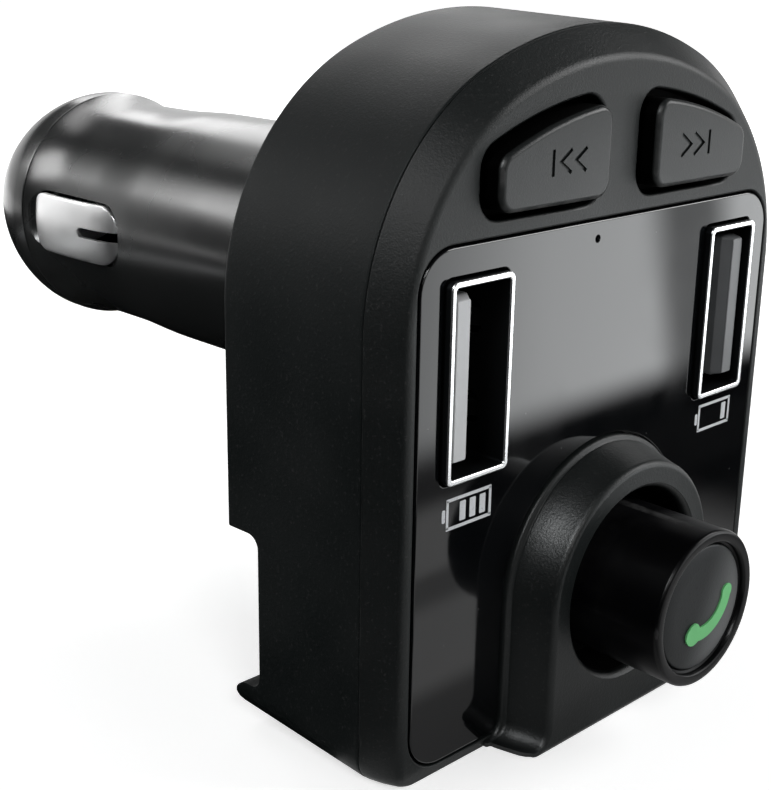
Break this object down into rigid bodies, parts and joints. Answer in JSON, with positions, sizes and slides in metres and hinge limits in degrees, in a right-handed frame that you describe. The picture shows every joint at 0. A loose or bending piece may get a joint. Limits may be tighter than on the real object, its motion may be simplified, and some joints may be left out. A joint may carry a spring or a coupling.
{
  "type": "car fm transmitter",
  "caption": "Car FM transmitter with an arch-shaped head, two charging sockets, skip buttons, a turning call knob and a round plug with spring contacts for a 12 V socket.",
  "frame": {"origin": "on the plug axis, in the plane of the head's back face", "axes": "+Y runs along the plug towards its centre contact, the head's face looks along -Y, +Z points from the head's flat end to the crown of its arch, and X runs across the head"},
  "size_m": [0.045, 0.0842, 0.0497],
  "materials": {
    "black_shell": "fine-textured black ABS with a soft sheen",
    "black_bezel": "fine-textured black ABS, smoother on the chamfer",
    "smoked_panel": "polished smoked acrylic over a dark backing",
    "black_key": "satin black ABS",
    "black_knob": "smooth satin black ABS",
    "grey_disc": "satin dark grey",
    "green_print": "green screen print",
    "switch_case": "dark moulded switch body",
    "bare_steel": "plain bright steel",
    "pale_plastic": "pale grey moulded insulator",
    "bright_shell": "bright tin-plated sheet steel",
    "gilt_contact": "gold-flashed contact",
    "display_glass": "unlit black display face",
    "board_green": "green solder mask",
    "ferrite": "moulded ferrite",
    "sleeve_blue": "printed sleeve on an aluminium can",
    "nickel": "bright nickel plate",
    "black_barrel": "satin black plastic, smoother than the head"
  },
  "bodies": {
    "head": {"rear_housing": "black_shell", "front_bezel": "black_bezel", "face_panel": "smoked_panel", "encoder_body": "switch_case", "usb_shell_left": "bright_shell", "usb_shell_right": "bright_shell", "usb_insulator_left": "pale_plastic", "usb_insulator_right": "pale_plastic", "usb_contacts_left": "gilt_contact", "usb_contacts_right": "gilt_contact", "display_module": "display_glass", "microphone": "bare_steel", "switch_left": "switch_case", "switch_right": "switch_case", "main_board": "board_green", "radio_module": "bare_steel", "board_screws": "bare_steel", "board_link": "gilt_contact", "power_board": "board_green", "power_inductor": "ferrite", "power_capacitor": "sleeve_blue", "ground_leads": "nickel", "plug_barrel": "black_barrel", "nose_ring": "black_barrel", "tip_rivet": "gilt_contact", "tip_spring": "bare_steel"},
    "knob_carrier": {"encoder_plunger": "pale_plastic"},
    "knob": {"knob_body": "black_knob", "knob_disc": "grey_disc", "call_symbol": "green_print", "encoder_shaft": "bare_steel"},
    "left_key": {"button_left": "black_key", "switch_stem_left": "pale_plastic"},
    "right_key": {"button_right": "black_key", "switch_stem_right": "pale_plastic"},
    "tip": {"tip_contact": "nickel"},
    "left_contact": {"side_contact_left": "nickel"},
    "right_contact": {"side_contact_right": "nickel"}
  },
  "joints": [
    {"name": "knob_press", "type": "slide", "parent": "head", "child": "knob_carrier", "axis": [0, 1, 0], "range_m": [0, 0.0005], "stiffness_N_per_m": 3000},
    {"name": "knob_turn", "type": "hinge", "parent": "knob_carrier", "child": "knob", "pos_m": [0, -0.015, -0.0185], "axis": [0, 1, 0], "continuous": true},
    {"name": "button_left_press", "type": "slide", "parent": "head", "child": "left_key", "axis": [0, 1, 0], "range_m": [0, 0.0004], "stiffness_N_per_m": 3000},
    {"name": "button_right_press", "type": "slide", "parent": "head", "child": "right_key", "axis": [0, 1, 0], "range_m": [0, 0.0004], "stiffness_N_per_m": 3000},
    {"name": "tip_press", "type": "slide", "parent": "head", "child": "tip", "axis": [0, -1, 0], "range_m": [0, 0.003], "stiffness_N_per_m": 800, "deforming": ["tip_spring"]},
    {"name": "contact_left_press", "type": "slide", "parent": "head", "child": "left_contact", "axis": [1, 0, 0], "range_m": [0, 0.001], "stiffness_N_per_m": 2000},
    {"name": "contact_right_press", "type": "slide", "parent": "head", "child": "right_contact", "axis": [-1, 0, 0], "range_m": [0, 0.001], "stiffness_N_per_m": 2000}
  ]
}
